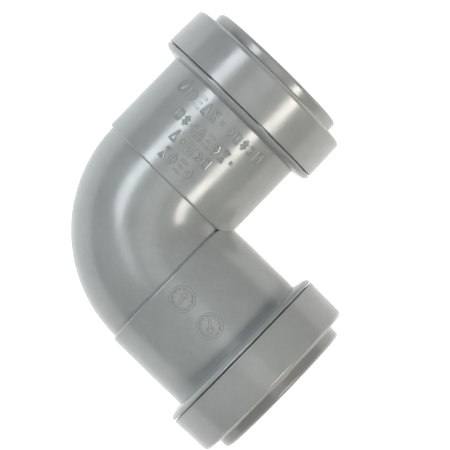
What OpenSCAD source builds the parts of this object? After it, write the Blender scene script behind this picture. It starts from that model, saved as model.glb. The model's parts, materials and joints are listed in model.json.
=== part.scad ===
// Push-fit waste bend: a moulded elbow with two pipe sockets at a right angle.
// Each socket ends in a short cup that holds a rubber lip seal, and a clip-on cap closes the cup.
// Millimetres. X runs out of the inlet socket and Y out of the outlet socket.
// The origin is the centre of the inlet socket's pipe stop.

/* [Pipe and sockets] */
// Outside diameter of the pipe that the sockets take
pipe_d = 34.6; // [34:0.1:35]
// Play between the pipe and the socket, on the diameter
socket_play = 0.5; // [0.4:0.1:0.8]
// Wall of the straight sockets
socket_wall = 1.95; // [1.8:0.05:2.2]
// Distance from the crossing of the socket axes to each pipe stop
centre_to_stop = 19.5; // [19:0.1:21]
// Distance from the crossing of the socket axes to each mouth
centre_to_mouth = 54.9; // [53:0.1:58]

/* [Bend] */
// Radius of the bend's centre line, which is also where the sockets begin
bend_radius = 16.9; // [16.8:0.1:18]
// How far the bend's skin lies below the sockets' skin
bend_step = 0.75; // [0.4:0.05:1]
// Radius of the waterway through the bend
waterway_r = 16.2; // [15.5:0.1:16.4]

/* [Seal cup] */
// Length of the cup that lies inside the cap
cup_length = 8.4; // [8.2:0.1:9]
// Depth of the seal's seat outside the pipe bore
seat_depth = 2.35; // [2.1:0.05:2.4]
// Wall of the cup around the seal
cup_wall = 1.3; // [1.2:0.05:1.4]
// Height of the clip bead round the cup
bead_height = 0.5; // [0.3:0.05:0.6]

/* [Cap] */
// Diameter of the cap at its open end, and of the flange behind it
cap_d = 46.8; // [46.6:0.1:48]
// How much narrower the cap's front edge is, on the diameter
cap_draft = 0.5; // [0:0.1:0.8]
// Length of the cap's wide ring
cap_length = 10.5; // [10.2:0.1:11]
// Length of the nose in front of the cap
nose_length = 3; // [2.5:0.1:3.2]
// Diameter of the nose
nose_d = 38.1; // [37.8:0.1:39]

/* [Seal] */
// Diameter inside the seal's lip, as it sits round a fitted pipe
lip_d = 34.7; // [34.6:0.05:34.8]
// Thickness of the seal's heel, which lines the seat
heel_thickness = 1.35; // [1.2:0.05:1.4]

/* [Hidden] */
$fn = 96;

// Gaps: between the turning cap and the cup, behind the cap, and at the seal's two ends
turning_gap = 0.15;
flange_gap = 0.3;
seal_gap = 0.05;

// Radii, from the pipe outwards
bore_r = (pipe_d + socket_play) / 2;
socket_r = bore_r + socket_wall;
bend_r = socket_r - bend_step;
seat_r = bore_r + seat_depth;
cup_r = seat_r + cup_wall;
cap_inner_r = cup_r + turning_gap;
cap_r = cap_d / 2;
nose_r = nose_d / 2;
lip_r = lip_d / 2;

// Distances from the crossing of the axes, along either socket
cap_front = centre_to_mouth - nose_length;
cap_back = cap_front - cap_length;
flange_front = cap_back - flange_gap;
flange_length = 1.9;
flange_back = flange_front - flange_length;
cup_front = flange_front + cup_length;
cap_web_back = cup_front + turning_gap;

// The flange's rim, and how far its sloping shoulder goes back and in
flange_rim = 0.45;
shoulder = 0.75;

// The clip bead round the cup, which has sloping sides and a narrow flat crest
bead_centre = cup_front - 2.4;
bead_half_crest = 0.1;
bead_half_length = bead_height + 0.2;

// Edge rounds and chamfers
cap_round = 1.1;
cap_back_chamfer = 0.25;
cap_lead_in = 0.3;
nose_round = 0.8;
flange_round = 0.2;
mouth_chamfer = 0.4;
seat_chamfer = 0.3;
arc_steps = 6;

// Points of a round corner: a quarter circle from angle a to angle a + 90
function quarter(centre, r, a) =
    [for (i = [0:arc_steps]) centre + r * [cos(a + 90 * i / arc_steps), sin(a + 90 * i / arc_steps)]];

// Puts a shape made along +Z on one of the two socket axes
module on_inlet() { translate([-centre_to_stop, 0, 0]) rotate([0, 90, 0]) children(); }
module on_outlet() { translate([-centre_to_stop, 0, 0]) rotate([-90, 0, 0]) children(); }

// Outside of one socket: straight tube, flange with a sloping shoulder, and the cup with its clip bead
module socket_skin() {
    rotate_extrude()
        polygon(concat(
            [
                [0, bend_radius],
                [socket_r, bend_radius],
                [socket_r, flange_back],
                [cap_r - shoulder, flange_front - flange_rim - shoulder],
                [cap_r, flange_front - flange_rim]
            ],
            quarter([cap_r - flange_round, flange_front - flange_round], flange_round, 0),
            [
                [cup_r, flange_front],
                [cup_r, bead_centre - bead_half_length],
                [cup_r + bead_height, bead_centre - bead_half_crest],
                [cup_r + bead_height, bead_centre + bead_half_crest],
                [cup_r, bead_centre + bead_half_length],
                [cup_r, cup_front],
                [0, cup_front]
            ]
        ));
}

// Inside of one socket: waterway up to the pipe stop, pipe bore, then the seal's seat
module socket_hollow() {
    rotate_extrude()
        polygon([
            [0, bend_radius],
            [waterway_r, bend_radius],
            [waterway_r, centre_to_stop],
            [bore_r, centre_to_stop],
            [bore_r, flange_front - seat_chamfer],
            [bore_r + seat_chamfer, flange_front],
            [seat_r, flange_front],
            [seat_r, cup_front + 1],
            [0, cup_front + 1]
        ]);
}

// A quarter of a ring round the inside corner of the bend; r is its tube's radius.
// The part that would lie past the ring's own axis is left off.
module quarter_bend(r) {
    translate([bend_radius - centre_to_stop, bend_radius, 0])
        rotate([0, 0, 180])
            rotate_extrude(angle = 90)
                intersection() {
                    translate([bend_radius, 0]) circle(r);
                    translate([0, -r - 1]) square([bend_radius + r + 1, 2 * r + 2]);
                }
}

// The one-piece moulding: bend, two sockets, two flanges and two seal cups
module elbow_body() {
    color("#9a9f9c")
        difference() {
            union() {
                quarter_bend(bend_r);
                on_inlet() socket_skin();
                on_outlet() socket_skin();
            }
            quarter_bend(waterway_r);
            on_inlet() socket_hollow();
            on_outlet() socket_hollow();
        }
}

// Rubber ring: a heel that lines the seat, a front band that the cap's web holds,
// and between them a thin lip that leans back towards the pipe stop
module lip_seal() {
    heel_r = seat_r - heel_thickness;
    back = flange_front + seal_gap;
    front = cup_front - seal_gap;
    band_r = bore_r + 0.05;
    band_chamfer = 0.3;
    band_back = front - 1.4;
    tip_back = back + 1.8;
    tip_front = back + 2.7;
    root_front = back + 4.2;
    color("#1d1e1f")
        rotate_extrude()
            polygon([
                [heel_r, back],
                [seat_r, back],
                [seat_r, front],
                [band_r + band_chamfer, front],
                [band_r, front - band_chamfer],
                [band_r, band_back],
                [lip_r, tip_front],
                [lip_r, tip_front - 0.5],
                [lip_r + 0.35, tip_back],
                [heel_r - 0.15, root_front],
                [heel_r, root_front - 0.3]
            ]);
}

// Clip-on cap: a wide ring that turns round the cup, a web over the seal, and a nose round the pipe
module clip_cap() {
    groove_r = cup_r + bead_height + turning_gap;
    groove_half_length = bead_half_length + turning_gap;
    front_r = cap_r - cap_draft / 2;
    color("#9ca19e")
        rotate_extrude()
            polygon(concat(
                [
                    [cap_inner_r + cap_lead_in, cap_back],
                    [cap_r - cap_back_chamfer, cap_back],
                    [cap_r, cap_back + cap_back_chamfer]
                ],
                quarter([front_r - cap_round, cap_front - cap_round], cap_round, 0),
                [[nose_r, cap_front]],
                quarter([nose_r - nose_round, centre_to_mouth - nose_round], nose_round, 0),
                [
                    [bore_r + mouth_chamfer, centre_to_mouth],
                    [bore_r, centre_to_mouth - 1.4 * mouth_chamfer],
                    [bore_r, cap_web_back],
                    [cap_inner_r, cap_web_back],
                    [cap_inner_r, bead_centre + groove_half_length],
                    [groove_r, bead_centre + bead_half_crest],
                    [groove_r, bead_centre - bead_half_crest],
                    [cap_inner_r, bead_centre - groove_half_length],
                    [cap_inner_r, cap_back + cap_lead_in]
                ]
            ));
}

module inlet_seal() { on_inlet() lip_seal(); }
module outlet_seal() { on_outlet() lip_seal(); }
module inlet_cap() { on_inlet() clip_cap(); }
module outlet_cap() { on_outlet() clip_cap(); }

elbow_body();
inlet_seal();
outlet_seal();
inlet_cap();
outlet_cap();
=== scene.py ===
"""A push-fit waste bend in grey polypropylene, lying on its side on a pale floor.

Both sockets are alike: a straight tube, a thin flange, and a cup with a rubber lip seal under a clip-on cap.
Outlines are in millimetres, as (distance from the crossing of the socket axes, radius, corner round).
"""
import json
import math

import bpy
from mathutils import Matrix, Vector


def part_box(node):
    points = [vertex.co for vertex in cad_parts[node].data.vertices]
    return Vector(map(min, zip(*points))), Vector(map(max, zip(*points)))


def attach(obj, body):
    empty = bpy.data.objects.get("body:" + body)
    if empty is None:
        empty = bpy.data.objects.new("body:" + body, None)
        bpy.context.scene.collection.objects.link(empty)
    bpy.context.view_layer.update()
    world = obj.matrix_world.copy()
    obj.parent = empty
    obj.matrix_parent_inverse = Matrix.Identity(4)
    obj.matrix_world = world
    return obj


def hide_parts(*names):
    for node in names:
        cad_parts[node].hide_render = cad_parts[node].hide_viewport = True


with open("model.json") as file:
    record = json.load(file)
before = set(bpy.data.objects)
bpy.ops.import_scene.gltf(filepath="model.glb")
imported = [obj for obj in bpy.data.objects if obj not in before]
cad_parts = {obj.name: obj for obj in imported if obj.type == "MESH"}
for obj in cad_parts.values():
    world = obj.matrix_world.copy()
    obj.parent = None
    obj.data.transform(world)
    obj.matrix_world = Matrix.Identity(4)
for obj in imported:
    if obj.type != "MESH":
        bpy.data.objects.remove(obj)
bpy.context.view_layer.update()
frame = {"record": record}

MM = 0.001

# ---- Sizes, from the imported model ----

mounts = {mount["name"]: mount for mount in frame["record"]["mounts"]}
inlet_stop = Vector(mounts["inlet_socket"]["pos_m"])
outlet_stop = Vector(mounts["outlet_socket"]["pos_m"])
crossing = Vector((outlet_stop.x, inlet_stop.y, 0))
body_low, body_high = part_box("elbow_body")
cap_low, cap_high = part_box("inlet_cap")
seal_low, seal_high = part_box("inlet_seal")


def along_inlet(x):
    """Millimetres from the crossing of the axes to x, along the inlet's axis."""
    return (x - crossing.x) / MM


stop = along_inlet(inlet_stop.x)
bore_r = mounts["inlet_socket"]["dims"]["r_mm"]
mouth = along_inlet(cap_high.x)
cap_back = along_inlet(cap_low.x)
cap_r = cap_high.z / MM
cup_front = along_inlet(body_high.x)
seal_back = along_inlet(seal_low.x)
seal_front = along_inlet(seal_high.x)
seat_r = seal_high.z / MM

# Sockets and bend: the sockets begin at the bend's radius, where the skin steps down to the bend's tube
SOCKET_WALL = 1.95
BEND_STEP = 0.75
STEP_ROUND = 0.6
BEND_RADIUS = 16.9
WATERWAY_R = 16.2
CREASE_FILLET = 0.6
CREASE_HALF_HEIGHT = 8.8

# Flange: a narrow rim, then a shoulder that slopes back and in by the same amount
FLANGE_LENGTH = 1.9
FLANGE_RIM = 0.45
SHOULDER = 0.75

# Cup with its clip bead, and the cap that turns round it
CUP_WALL = 1.3
BEAD_HEIGHT = 0.5
BEAD_FROM_FRONT = 2.4
BEAD_HALF_CREST = 0.1
BEAD_HALF_LENGTH = 0.7
TURNING_GAP = 0.15
FLANGE_GAP = 0.3
NOSE_R = 19.05
NOSE_LENGTH = 3.0
CAP_DRAFT = 0.5
CAP_TURN = 70

# Seal
HEEL_THICKNESS = 1.35
LIP_R = 17.35

socket_r = bore_r + SOCKET_WALL
bend_r = socket_r - BEND_STEP
cup_r = seat_r + CUP_WALL
cap_inner_r = cup_r + TURNING_GAP
flange_front = cap_back - FLANGE_GAP
flange_back = flange_front - FLANGE_LENGTH
flange_shoulder = flange_front - FLANGE_RIM - SHOULDER
bead_centre = cup_front - BEAD_FROM_FRONT
groove_half_length = BEAD_HALF_LENGTH + TURNING_GAP
web_back = cup_front + TURNING_GAP
web_front = mouth - NOSE_LENGTH

# Steps of the spun shapes, the coarsest arc of a corner, and the distance below which vertices merge
TURN_STEPS = 144
BEND_STEPS = 56
ARC_STEP = math.radians(18)
SMOOTH_BELOW = math.radians(38)
MERGE = 0.002 * MM
MARKS_MERGE = MERGE / 20


# ---- Modelling by hand: small steps that repeat ----

def deselect():
    if bpy.context.mode != "OBJECT":
        bpy.ops.object.mode_set(mode="OBJECT")
    bpy.ops.object.select_all(action="DESELECT")


def pick(piece):
    """Makes one piece the selected and active one."""
    deselect()
    piece.select_set(True)
    bpy.context.view_layer.objects.active = piece


def mode(name):
    bpy.ops.object.mode_set(mode=name)


def select_where(piece, kind, test):
    """Selects the vertices or edges whose corners all pass a test of their place; ends in edit mode."""
    mode("EDIT")
    bpy.ops.mesh.select_mode(type=kind)
    bpy.ops.mesh.select_all(action="DESELECT")
    mode("OBJECT")
    mesh = piece.data
    good = [test(vertex.co) for vertex in mesh.vertices]
    items = mesh.vertices if kind == "VERT" else mesh.edges
    for item in items:
        corners = [item.index] if kind == "VERT" else item.vertices
        item.select = all(good[corner] for corner in corners)
    mode("EDIT")


def rounded(corners, closed=True):
    """Outline points from corners (along, radius, round): a corner with a round becomes an arc."""
    points = []
    for i, (along, radius, size) in enumerate(corners):
        here = Vector((along, radius))
        if not size or (not closed and i in (0, len(corners) - 1)):
            points.append(here)
            continue
        to_last = (Vector(corners[i - 1][:2]) - here).normalized()
        to_next = (Vector(corners[(i + 1) % len(corners)][:2]) - here).normalized()
        half = to_last.angle(to_next) / 2
        centre = here + (to_last + to_next).normalized() * size / math.sin(half)
        start = (here + to_last * size / math.tan(half) - centre).normalized()
        end = (here + to_next * size / math.tan(half) - centre).normalized()
        steps = max(3, math.ceil(start.angle(end) / ARC_STEP))
        points += [centre + start.slerp(end, k / steps) * size for k in range(steps + 1)]
    return points + points[:1] if closed else points


def place(point):
    """A point of an outline, put beside the inlet's axis in the plane of the bend."""
    return crossing + Vector((point[0], point[1], 0)) * MM


def turned(name, corners, closed=True):
    """Draws an outline vertex by vertex and spins it round the inlet's axis."""
    outline = rounded(corners, closed)
    deselect()
    bpy.ops.mesh.primitive_plane_add(size=MM, location=place(outline[0]))
    piece = bpy.context.object
    piece.name = name
    bpy.ops.object.transform_apply(location=True, rotation=True, scale=True)
    mode("EDIT")
    bpy.ops.mesh.select_mode(type="VERT")
    bpy.ops.mesh.select_all(action="SELECT")
    bpy.ops.mesh.merge(type="CENTER")
    for here, there in zip(outline, outline[1:]):
        move = place(there) - place(here)
        bpy.ops.mesh.extrude_region_move(TRANSFORM_OT_translate={"value": move})
    bpy.ops.mesh.select_all(action="SELECT")
    bpy.ops.mesh.spin(steps=TURN_STEPS, angle=math.tau, center=crossing, axis=(1, 0, 0))
    bpy.ops.mesh.select_all(action="SELECT")
    bpy.ops.mesh.remove_doubles(threshold=MERGE)
    bpy.ops.mesh.normals_make_consistent(inside=False)
    mode("OBJECT")
    return piece


def finished(piece, merge=MERGE):
    """Merges what touches, turns all faces outwards and shades the rounds smooth."""
    pick(piece)
    mode("EDIT")
    bpy.ops.mesh.select_mode(type="VERT")
    bpy.ops.mesh.select_all(action="SELECT")
    bpy.ops.mesh.remove_doubles(threshold=merge)
    bpy.ops.mesh.normals_make_consistent(inside=False)
    mode("OBJECT")
    bpy.ops.object.shade_smooth_by_angle(angle=SMOOTH_BELOW)
    weighted = piece.modifiers.new("weighted", "WEIGHTED_NORMAL")
    weighted.keep_sharp = True
    bpy.ops.object.modifier_apply(modifier=weighted.name)
    return piece


def copied_to_outlet(piece, name, turn=0):
    """A copy for the outlet: turned about its own axis first, then a quarter turn about the crossing."""
    twin = piece.copy()
    twin.data = piece.data.copy()
    twin.name = name
    bpy.context.scene.collection.objects.link(twin)
    to_crossing = Matrix.Translation(crossing)
    spin = Matrix.Rotation(math.radians(turn), 4, "X")
    quarter = Matrix.Rotation(math.radians(90), 4, "Z")
    twin.data.transform(to_crossing @ quarter @ spin @ to_crossing.inverted())
    return twin


# ---- Elbow: one moulding ----

def make_elbow():
    """Both sockets from one spun outline and its mirror image, joined by the spun skins of the bend."""
    elbow = turned("elbow", [
        (BEND_RADIUS, WATERWAY_R, 0),
        (stop, WATERWAY_R, 0.25),
        (stop, bore_r, 0.2),
        (flange_front - 0.3, bore_r, 0.1),
        (flange_front, bore_r + 0.3, 0.1),
        (flange_front, seat_r, 0.2),
        (cup_front, seat_r, 0.15),
        (cup_front, cup_r, 0.25),
        (bead_centre + BEAD_HALF_LENGTH, cup_r, 0.1),
        (bead_centre + BEAD_HALF_CREST, cup_r + BEAD_HEIGHT, 0.08),
        (bead_centre - BEAD_HALF_CREST, cup_r + BEAD_HEIGHT, 0.08),
        (bead_centre - BEAD_HALF_LENGTH, cup_r, 0.1),
        (flange_front, cup_r, 0.1),
        (flange_front, cap_r, 0.15),
        (flange_front - FLANGE_RIM, cap_r, 0.7),
        (flange_shoulder, cap_r - SHOULDER, 1.2),
        (flange_back, socket_r, 0),
        (BEND_RADIUS, socket_r, STEP_ROUND),
        (BEND_RADIUS, bend_r, 0),
    ], closed=False)

    # The other socket, mirrored across the plane in which the two tubes meet
    deselect()
    bpy.ops.object.empty_add(location=crossing, rotation=(0, 0, math.radians(45)))
    mitre = bpy.context.object
    pick(elbow)
    mirror = elbow.modifiers.new("mitre", "MIRROR")
    mirror.mirror_object = mitre
    mirror.use_axis = (False, True, False)
    mirror.use_bisect_axis = (False, True, False)
    mirror.use_bisect_flip_axis = (False, True, False)
    mirror.merge_threshold = MERGE
    mirror.bisect_threshold = MERGE
    bpy.ops.object.modifier_apply(modifier=mirror.name)
    bpy.data.objects.remove(mitre)

    # The bend: the open rings at the inlet's end, spun to the outlet's
    bend_centre = crossing + Vector((BEND_RADIUS, BEND_RADIUS, 0)) * MM
    for radius in (bend_r, WATERWAY_R):
        def on_ring(co):
            local = (co - crossing) / MM
            off_axis = math.hypot(local.y, local.z)
            return abs(local.x - BEND_RADIUS) < 0.01 and radius - 0.02 < off_axis < radius + 0.01
        select_where(elbow, "EDGE", on_ring)
        bpy.ops.mesh.spin(steps=BEND_STEPS, angle=math.pi / 2, center=bend_centre, axis=(0, 0, 1))

    # A small fillet in the crease where the two tubes meet
    bpy.ops.mesh.select_all(action="SELECT")
    bpy.ops.mesh.remove_doubles(threshold=MERGE)

    def in_crease(co):
        local = (co - crossing) / MM
        return (abs(local.x - local.y) < 0.02 and local.x > 0 and abs(local.z) < CREASE_HALF_HEIGHT
                and abs(math.hypot(local.y, local.z) - socket_r) < 0.05)
    select_where(elbow, "EDGE", in_crease)
    bpy.ops.mesh.bevel(offset=CREASE_FILLET * MM, segments=4, affect="EDGES", clamp_overlap=True)
    return elbow


# ---- Caps and seals: one of each, copied to the outlet ----

def make_cap():
    """Clip-on cap: a wide ring whose groove holds the bead of the cup, a web over the seal, and a nose."""
    return turned("inlet_clip_cap", [
        (cap_back, cap_inner_r + 0.3, 0.08),
        (cap_back, cap_r, 0.3),
        (web_front, cap_r - CAP_DRAFT / 2, 1.1),
        (web_front, NOSE_R, 0.6),
        (mouth, NOSE_R, 0.95),
        (mouth, bore_r + 0.4, 0.15),
        (mouth - 0.56, bore_r, 0.2),
        (web_back, bore_r, 0.1),
        (web_back, cap_inner_r, 0.15),
        (bead_centre + groove_half_length, cap_inner_r, 0.08),
        (bead_centre + BEAD_HALF_CREST, cap_inner_r + BEAD_HEIGHT, 0.06),
        (bead_centre - BEAD_HALF_CREST, cap_inner_r + BEAD_HEIGHT, 0.06),
        (bead_centre - groove_half_length, cap_inner_r, 0.08),
        (cap_back + 0.3, cap_inner_r, 0.08),
    ])


def make_seal():
    """Lip seal: a heel in the seat of the cup, a guide band in front, and a lip that leans inwards."""
    heel_r = seat_r - HEEL_THICKNESS
    return turned("inlet_lip_seal", [
        (seal_back, heel_r, 0.15),
        (seal_back, seat_r, 0.25),
        (seal_front, seat_r, 0.25),
        (seal_front, bore_r + 0.35, 0.12),
        (seal_front - 0.3, bore_r + 0.05, 0.12),
        (seal_front - 1.4, bore_r + 0.05, 0.12),
        (seal_back + 2.7, LIP_R, 0.12),
        (seal_back + 2.2, LIP_R, 0.12),
        (seal_back + 1.8, LIP_R + 0.35, 0.12),
        (seal_back + 4.2, heel_r - 0.15, 0.06),
        (seal_back + 3.9, heel_r, 0.1),
    ])


# ---- Marks: raised strokes on the two tubes ----

# Strokes of each sign in a box one unit wide and one high
SIGNS = {
    "arrow": [[(0, 0.5), (1, 0.5)], [(0.55, 0.95), (1, 0.5), (0.55, 0.05)]],
    "diamond": [[(0.5, 0), (1, 0.5), (0.5, 1), (0, 0.5), (0.5, 0)]],
    "triangle": [[(0, 0), (1, 0), (0.5, 1), (0, 0)]],
    "square": [[(0.05, 0.1), (0.95, 0.1), (0.95, 0.9), (0.05, 0.9), (0.05, 0.1)]],
    "hourglass": [[(0, 0), (1, 0), (0, 1), (1, 1), (0, 0)]],
    "bars": [[(0, 0), (1, 0)], [(0.2, 0.5), (0.8, 0.5)], [(0, 1), (1, 1)]],
    "star": [[(0.5, 0), (0.5, 1)], [(0.05, 0.25), (0.95, 0.75)], [(0.05, 0.75), (0.95, 0.25)]],
    "crossed": [[(0, 0), (1, 0), (1, 1), (0, 1), (0, 0)], [(0, 0), (1, 1)]],
    "chevrons": [[(0, 0.9), (0.45, 0.5), (0, 0.1)], [(0.5, 0.9), (0.95, 0.5), (0.5, 0.1)]],
    "dot": [[(0.4, 0.4), (0.6, 0.4), (0.6, 0.6), (0.4, 0.6), (0.4, 0.4)]],
}
SIGN_HEIGHT = 2.9
SIGN_WIDTH = 1.6
SIGN_PITCH = 2.45
STROKE_R = 0.38
STROKE_DEPTH = 0.12
STROKE_PIECE = 0.7
TICKED_RING_R = 2.5


def on_outlet_tube(along, around):
    """A point just under the outlet tube's skin; around is in degrees from the top towards +X."""
    angle = math.radians(around)
    radius = socket_r - STROKE_DEPTH
    return crossing + Vector((radius * math.sin(angle), along, radius * math.cos(angle))) * MM


def on_inlet_tube(along, around):
    """The same for the inlet tube; around is from the top towards +Y."""
    angle = math.radians(around)
    radius = socket_r - STROKE_DEPTH
    return crossing + Vector((along, radius * math.sin(angle), radius * math.cos(angle))) * MM


def sign_row(along, start, names):
    """Strokes of a row of signs round a tube, as (millimetres along, degrees round) points."""
    degree = math.degrees(1 / socket_r)
    strokes = []
    for i, name in enumerate(names):
        left = start + i * SIGN_PITCH * degree
        for stroke in SIGNS[name]:
            strokes.append([
                (along + (v - 0.5) * SIGN_HEIGHT, left + u * SIGN_WIDTH * degree) for u, v in stroke])
    return strokes


def clock(along, around, radius, pointer):
    """Strokes of a mould's date ring: a circle, ticks inside it and an arrow."""
    degree = math.degrees(1 / socket_r)

    def at(r, turn):
        return (along + r * math.cos(turn), around + r * math.sin(turn) * degree)

    ring = [at(radius, math.tau * k / 28) for k in range(29)]
    ticks = [[at(radius * 0.7, math.tau * k / 12), at(radius * 0.82, math.tau * k / 12)] for k in range(12)]
    turn = math.radians(pointer)
    shaft = [at(radius * 0.55, turn + math.pi), at(radius * 0.55, turn)]
    head = [at(radius * 0.35, turn - 1), at(radius * 0.55, turn), at(radius * 0.35, turn + 1)]
    return [ring, shaft, head] + (ticks if radius > TICKED_RING_R else [])


def raised_marks(name, strokes, on_tube):
    """Round beads along the strokes, their middles just under the skin."""
    deselect()
    curve = bpy.data.curves.new(name, "CURVE")
    curve.dimensions = "3D"
    curve.bevel_depth = STROKE_R * MM
    curve.bevel_resolution = 1
    curve.use_fill_caps = True
    for stroke in strokes:
        closed = stroke[0] == stroke[-1] or math.dist(stroke[0], stroke[-1]) < 1e-6
        points = []
        for here, there in zip(stroke, stroke[1:]):
            length = math.hypot(there[0] - here[0], math.radians(there[1] - here[1]) * socket_r)
            pieces = max(1, math.ceil(length / STROKE_PIECE))
            points += [tuple(a + (b - a) * k / pieces for a, b in zip(here, there)) for k in range(pieces)]
        if not closed:
            points.append(stroke[-1])
        spline = curve.splines.new("POLY")
        spline.points.add(len(points) - 1)
        for point, (along, around) in zip(spline.points, points):
            point.co = (*on_tube(along, around), 1)
        spline.use_cyclic_u = closed
    piece = bpy.data.objects.new(name, curve)
    bpy.context.scene.collection.objects.link(piece)
    pick(piece)
    bpy.ops.object.convert(target="MESH")
    return bpy.context.object


elbow = finished(make_elbow())
inlet_clip_cap = finished(make_cap())
inlet_lip_seal = finished(make_seal())
outlet_clip_cap = copied_to_outlet(inlet_clip_cap, "outlet_clip_cap", turn=CAP_TURN)
outlet_lip_seal = copied_to_outlet(inlet_lip_seal, "outlet_lip_seal")

outlet_marks = finished(raised_marks(
    "outlet_marks",
    clock(35.8, -37, 1.9, 30)
    + sign_row(35.6, -29, [
        "diamond", "bars", "triangle", "hourglass", "dot", "arrow", "square", "star", "chevrons", "crossed"])
    + sign_row(30.3, -27, [
        "square", "star", "arrow", "triangle", "bars", "diamond", "hourglass", "dot"])
    + sign_row(26.2, -18, ["triangle", "dot", "crossed", "chevrons", "square"])
    + sign_row(21.6, -15, ["hourglass", "diamond", "bars", "arrow"]),
    on_outlet_tube), merge=MARKS_MERGE)
inlet_marks = finished(raised_marks(
    "inlet_marks",
    clock(22.5, -0.4, 2.85, 100) + clock(31.5, -0.4, 2.85, -40),
    on_inlet_tube), merge=MARKS_MERGE)


# ---- Materials ----

def linear(hex_colour):
    """sRGB hex to linear RGBA."""
    channels = [int(hex_colour[i:i + 2], 16) / 255 for i in (1, 3, 5)]
    return [c / 12.92 if c <= 0.04045 else ((c + 0.055) / 1.055) ** 2.4 for c in channels] + [1]


def per(size_mm):
    """Texture scale, on Object coordinates in metres, that gives features of this size."""
    return 1000 / size_mm


def add(tree, kind, settings=None, links=None):
    """Adds a shader node: settings go to its properties or sockets, links join other nodes' outputs to it."""
    node = tree.nodes.new("ShaderNode" + kind)
    for key, value in (settings or {}).items():
        if isinstance(key, str) and hasattr(node, key):
            setattr(node, key, value)
        else:
            node.inputs[key].default_value = value
    for key, output in (links or {}).items():
        tree.links.new(output, node.inputs[key])
    return node


def new_material(name):
    material = bpy.data.materials.new(name)
    material.use_nodes = True
    material.node_tree.nodes.clear()
    return material, material.node_tree


def moulded_polypropylene(name, light, dark, roughness, peel_mm):
    """Injection-moulded polypropylene: soft grey satin, slightly uneven in tone, with a fine orange peel."""
    material, tree = new_material(name)
    place_on = add(tree, "TexCoord").outputs["Object"]

    # Pigment that flowed unevenly: soft clouds about 14 mm across, and fine specks
    clouds = add(tree, "TexNoise", {"Scale": per(14), "Detail": 3.0, "Roughness": 0.55}, {"Vector": place_on})
    specks = add(tree, "TexNoise", {"Scale": per(0.9), "Detail": 2.0, "Roughness": 0.6}, {"Vector": place_on})
    faint = add(tree, "Math", {"operation": "MULTIPLY", 1: 0.3}, {0: specks.outputs["Fac"]})
    tone = add(tree, "Math", {"operation": "ADD"}, {0: clouds.outputs["Fac"], 1: faint.outputs["Value"]})
    ramp = add(tree, "ValToRGB", links={"Fac": tone.outputs["Value"]})
    ramp.color_ramp.elements[0].position = 0.45
    ramp.color_ramp.elements[0].color = linear(dark)
    ramp.color_ramp.elements[1].position = 0.85
    ramp.color_ramp.elements[1].color = linear(light)

    # Handling leaves patches a little duller, about 5 mm across
    dull = add(tree, "TexNoise", {"Scale": per(5), "Detail": 4.0}, {"Vector": place_on})
    rough = add(tree, "MapRange", {
        "From Min": 0.3, "From Max": 0.7, "To Min": roughness - 0.03, "To Max": roughness + 0.06,
    }, {"Value": dull.outputs["Fac"]})

    # Orange peel of the mould's polish, and the spark-eroded grain, drawn twice as coarse as it is so that it shows
    peel = add(tree, "TexNoise", {"Scale": per(peel_mm), "Detail": 1.0}, {"Vector": place_on})
    grain = add(tree, "TexNoise", {"Scale": per(0.3), "Detail": 2.0}, {"Vector": place_on})
    peel_bump = add(tree, "Bump", {"Strength": 0.5, "Distance": 0.006 * MM}, {"Height": peel.outputs["Fac"]})
    bump = add(tree, "Bump", {"Strength": 0.3, "Distance": 0.001 * MM},
               {"Height": grain.outputs["Fac"], "Normal": peel_bump.outputs["Normal"]})
    shader = add(tree, "BsdfPrincipled", {"IOR": 1.58}, {
        "Base Color": ramp.outputs["Color"], "Roughness": rough.outputs["Result"], "Normal": bump.outputs["Normal"]})
    add(tree, "OutputMaterial", links={"Surface": shader.outputs["BSDF"]})
    return material


def moulded_rubber(name):
    """Moulded EPDM rubber: near black, dull, with a faint bloom of talc."""
    material, tree = new_material(name)
    place_on = add(tree, "TexCoord").outputs["Object"]
    bloom = add(tree, "TexNoise", {"Scale": per(3), "Detail": 5.0}, {"Vector": place_on})
    ramp = add(tree, "ValToRGB", links={"Fac": bloom.outputs["Fac"]})
    ramp.color_ramp.elements[0].position = 0.4
    ramp.color_ramp.elements[0].color = linear("#1b1c1d")
    ramp.color_ramp.elements[1].position = 0.8
    ramp.color_ramp.elements[1].color = linear("#2c2d2e")
    grain = add(tree, "TexNoise", {"Scale": per(0.25), "Detail": 2.0}, {"Vector": place_on})
    bump = add(tree, "Bump", {"Strength": 0.4, "Distance": 0.01 * MM}, {"Height": grain.outputs["Fac"]})
    shader = add(tree, "BsdfPrincipled", {"IOR": 1.52, "Roughness": 0.6}, {
        "Base Color": ramp.outputs["Color"], "Normal": bump.outputs["Normal"]})
    add(tree, "OutputMaterial", links={"Surface": shader.outputs["BSDF"]})
    return material


body_plastic = moulded_polypropylene("body_polypropylene", "#959996", "#8a8d8b", 0.21, 1.6)
cap_plastic = moulded_polypropylene("cap_polypropylene", "#979996", "#8d8f8d", 0.2, 1.3)
seal_rubber = moulded_rubber("seal_epdm")

finishes = [
    (elbow, body_plastic, "body_plastic", "fitting"),
    (outlet_marks, body_plastic, "body_plastic", "fitting"),
    (inlet_marks, body_plastic, "body_plastic", "fitting"),
    (inlet_lip_seal, seal_rubber, "seal_rubber", "fitting"),
    (outlet_lip_seal, seal_rubber, "seal_rubber", "fitting"),
    (inlet_clip_cap, cap_plastic, "cap_plastic", "inlet_cap_ring"),
    (outlet_clip_cap, cap_plastic, "cap_plastic", "outlet_cap_ring"),
]
for piece, material, slot, body in finishes:
    piece.data.materials.clear()
    piece.data.materials.append(material)
    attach(piece, body)
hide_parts("elbow_body")
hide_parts("inlet_seal")
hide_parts("outlet_seal")
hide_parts("inlet_cap")
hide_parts("outlet_cap")


# ---- Floor, lights and camera ----

# The floor glows a little, so that it stays white in the soft shadows beside the fitting
FLOOR_SIZE = 6
FLOOR_GLOW = 0.6
WORLD_STRENGTH = 0.08

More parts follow.
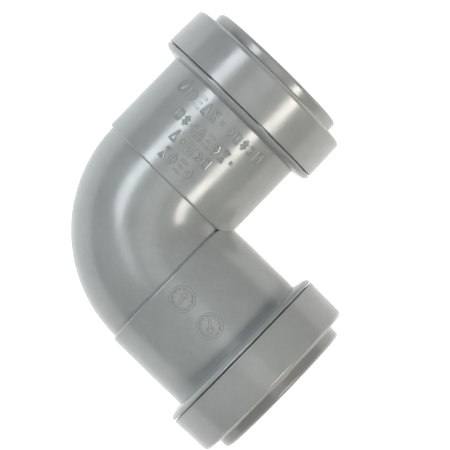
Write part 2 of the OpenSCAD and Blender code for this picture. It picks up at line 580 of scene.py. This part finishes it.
# The camera looks almost straight down, in degrees; its offset from the crossing is in millimetres along its own axes
CAMERA_TURN = (0.52, 1.82, 44.25)
CAMERA_OFFSET = (25.33, 1.61, 555.9)
CAMERA_LENS = 184.6

deselect()
bpy.ops.mesh.primitive_plane_add(size=FLOOR_SIZE, location=(0, 0, -cap_r * MM))
floor = bpy.context.object
floor.name = "floor"
floor_paint, tree = new_material("white_floor")
shader = add(tree, "BsdfPrincipled", {
    "Base Color": linear("#f4f4f2"), "Roughness": 0.9,
    "Emission Color": linear("#ffffff"), "Emission Strength": FLOOR_GLOW})
add(tree, "OutputMaterial", links={"Surface": shader.outputs["BSDF"]})
floor.data.materials.append(floor_paint)


def soft_light(name, towards, distance, along, size, power, colour):
    """A rectangular area light that faces the crossing of the tubes; its longer side lies along a direction."""
    direction = Vector(towards).normalized()
    across = Vector(along).cross(direction).normalized()
    facing = Matrix((across.cross(direction) * -1, across * -1, direction)).transposed()
    deselect()
    bpy.ops.object.light_add(type="AREA", location=crossing + direction * distance, rotation=facing.to_euler())
    light = bpy.context.object
    light.name = name
    light.data.shape = "RECTANGLE"
    light.data.size, light.data.size_y = size
    light.data.energy = power
    light.data.color = linear(colour)[:3]


# Two large lights give the long warm and cool streaks, a dimmer one the bend's lower half, and one fills the top
soft_light("warm_window", (0.68, 0.15, 0.71), 0.9, (0, 1, 0), (0.5, 0.21), 5.0, "#fff9f1")
soft_light("cool_softbox", (-0.64, -0.1, 0.76), 0.9, (0, 1, 0), (0.6, 0.26), 5.6, "#f1f8ff")
soft_light("cool_side", (-0.36, -0.45, 0.82), 0.9, (1, 0.2, 0), (0.42, 0.2), 0.8, "#f1f8ff")
soft_light("overhead", (0, 0, 1), 1.6, (0, 1, 0), (0.7, 0.7), 1.9, "#ffffff")

world = bpy.data.worlds.new("studio")
world.use_nodes = True
world.node_tree.nodes["Background"].inputs["Color"].default_value = linear("#eef1f3")
world.node_tree.nodes["Background"].inputs["Strength"].default_value = WORLD_STRENGTH
bpy.context.scene.world = world
bpy.context.scene.view_settings.view_transform = "Standard"

deselect()
bpy.ops.object.camera_add(rotation=[math.radians(angle) for angle in CAMERA_TURN])
camera = bpy.context.object
camera.name = "camera"
camera.location = crossing + camera.rotation_euler.to_matrix() @ Vector(CAMERA_OFFSET) * MM
camera.data.lens = CAMERA_LENS
camera.data.sensor_width = 36
camera.data.clip_start = 0.05
bpy.context.scene.camera = camera
